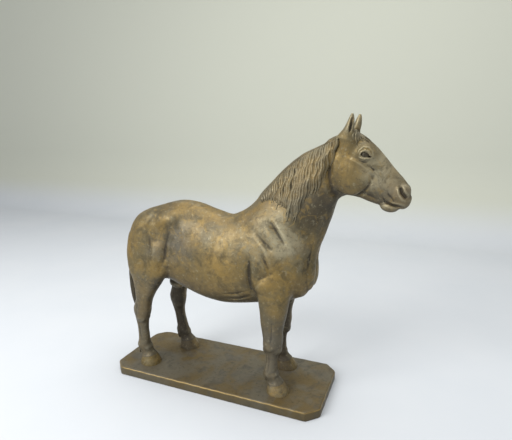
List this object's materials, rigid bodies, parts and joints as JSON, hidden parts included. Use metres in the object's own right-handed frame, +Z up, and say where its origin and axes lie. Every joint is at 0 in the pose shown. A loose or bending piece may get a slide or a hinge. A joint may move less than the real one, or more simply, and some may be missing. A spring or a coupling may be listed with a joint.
{
  "type": "horse statue",
  "caption": "Standing draft horse in cast bronze, sleeved from hollow castings and bolted through its hooves to a flat clipped-corner plinth.",
  "frame": {"origin": "middle of the plinth's underside, in the plane of the table", "axes": "+X to the horse's nose, +Y to the horse's left, +Z up"},
  "size_m": [0.4355, 0.14, 0.403],
  "materials": {
    "body_bronze": "satin brown patina",
    "hair_bronze": "satin brown patina",
    "eye_bronze": "dark patina",
    "hoof_bronze": "satin, rubbed lighter",
    "plinth_bronze": "satin olive-brown patina",
    "pin_bronze": "chased flush and patinated",
    "fastener_steel": "plain"
  },
  "bodies": {
    "root": {"base_plate": "plinth_bronze", "trunk": "body_bronze", "neck": "body_bronze", "head": "body_bronze", "ear_left": "body_bronze", "ear_right": "body_bronze", "eye_left": "eye_bronze", "eye_right": "eye_bronze", "mane": "hair_bronze", "forelock": "hair_bronze", "tail": "hair_bronze", "foreleg_left": "body_bronze", "foreleg_right": "body_bronze", "hindleg_left": "body_bronze", "hindleg_right": "body_bronze", "hoof_front_left": "hoof_bronze", "hoof_front_right": "hoof_bronze", "hoof_hind_left": "hoof_bronze", "hoof_hind_right": "hoof_bronze", "mounting_studs": "fastener_steel", "stud_washers": "fastener_steel", "stud_nuts": "fastener_steel", "section_pins": "pin_bronze"}
  },
  "joints": []
}
